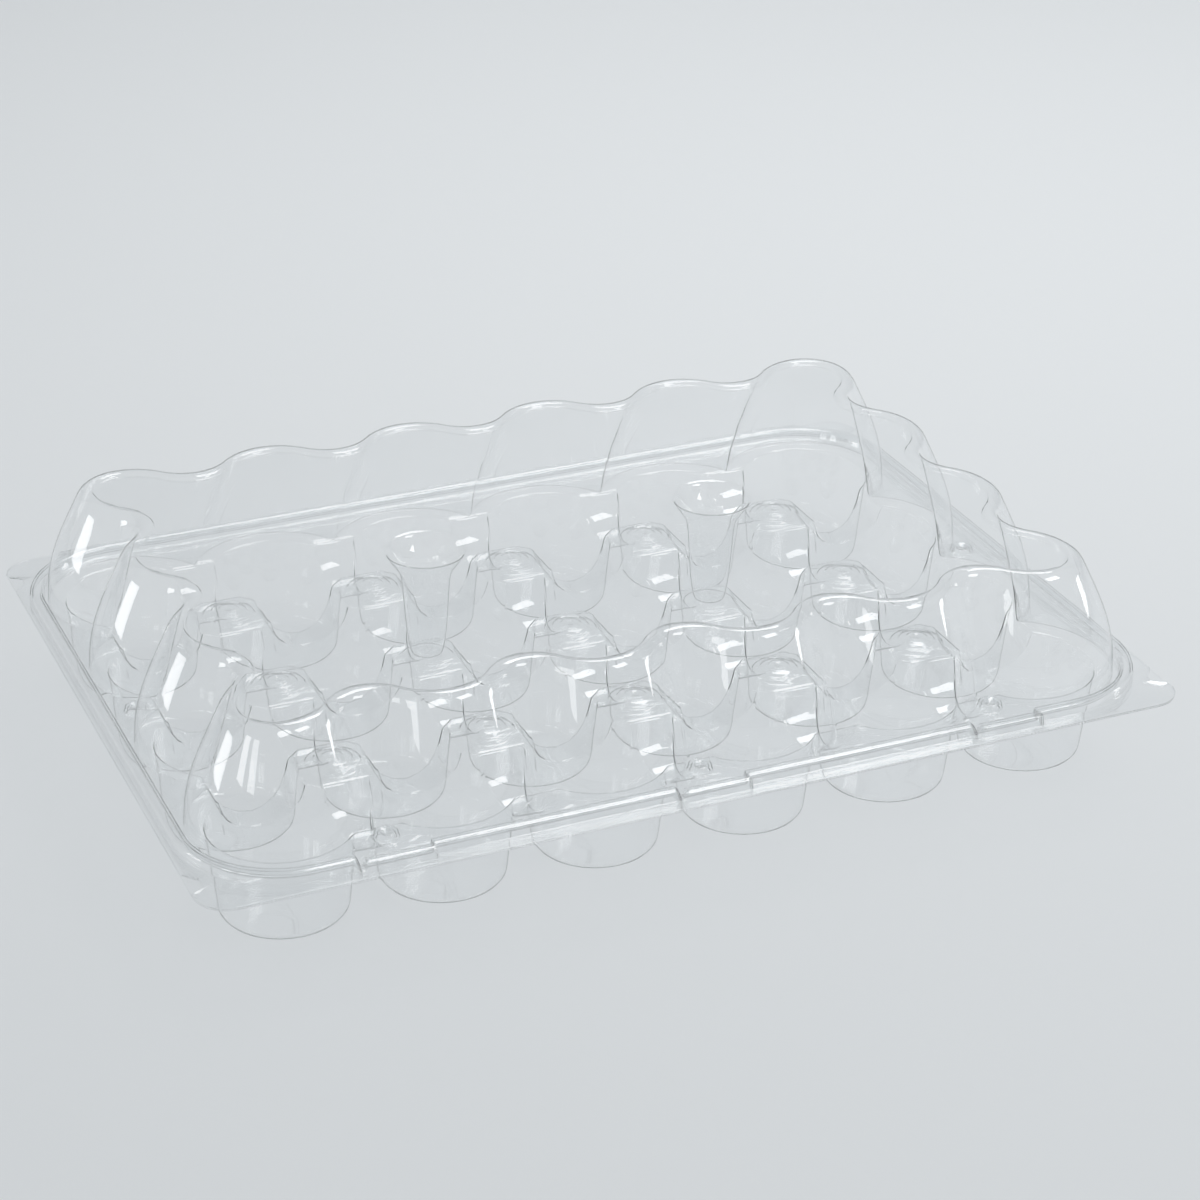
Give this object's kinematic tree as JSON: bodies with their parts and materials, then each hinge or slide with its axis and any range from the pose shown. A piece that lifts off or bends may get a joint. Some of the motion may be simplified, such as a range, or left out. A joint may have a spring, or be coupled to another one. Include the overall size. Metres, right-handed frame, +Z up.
{
  "type": "plastic clamshell pack",
  "caption": "Clear thermoformed clamshell for small cakes: a tray of round cups and stepped posts, and a hinged lid with scalloped domed walls.",
  "frame": {"origin": "under the middle of the shut pack, on the plane its cups stand on", "axes": "+X along the long side, +Y towards the hinge at the back, +Z up"},
  "size_m": [0.4884, 0.36, 0.106],
  "materials": {
    "base_tray": "clear glossy sheet, smooth, slightly cool",
    "lid": "clear glossy sheet, smooth, slightly cool",
    "living_hinge": "the same clear sheet, thinned and folded"
  },
  "bodies": {
    "tray": {"base_tray": "base_tray", "living_hinge": "living_hinge"},
    "lid": {"lid": "lid"}
  },
  "joints": [
    {"name": "lid_hinge", "type": "hinge", "parent": "tray", "child": "lid", "pos_m": [0, 0.1787, 0.04545], "axis": [-1, 0, 0], "range_deg": [0, 160], "deforming": ["living_hinge"]}
  ]
}
